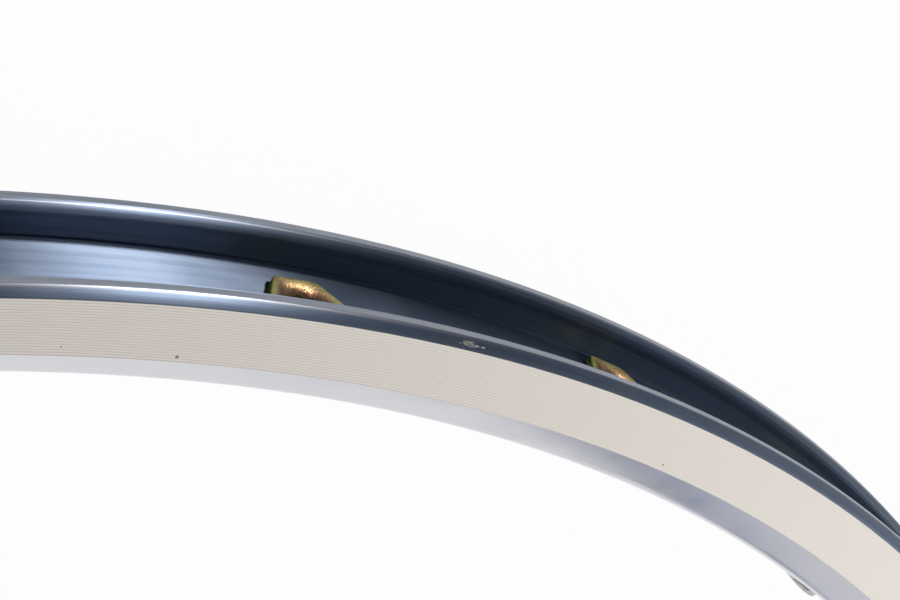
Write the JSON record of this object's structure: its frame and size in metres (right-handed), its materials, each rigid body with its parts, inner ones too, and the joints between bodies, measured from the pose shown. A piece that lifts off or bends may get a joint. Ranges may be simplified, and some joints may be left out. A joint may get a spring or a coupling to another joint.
{
  "type": "bicycle rim",
  "caption": "Double-wall clincher bicycle rim with hooked flanges, turned brake tracks, 32 spoke holes with hexagonal eyelets, a valve hole and a sleeved butt joint.",
  "frame": {"origin": "wheel centre, on the wheel axis at the middle of the rim's width", "axes": "+Z along the wheel axis, -Y through the valve hole, +Y through the hoop's butt joint"},
  "size_m": [0.6339, 0.634, 0.021],
  "materials": {
    "anodised_hoop": "blue-grey anodised, brake tracks turned bare",
    "sleeve": "as extruded"
  },
  "bodies": {
    "root": {"rim_hoop": "anodised_hoop", "joint_sleeve": "sleeve"}
  },
  "joints": []
}
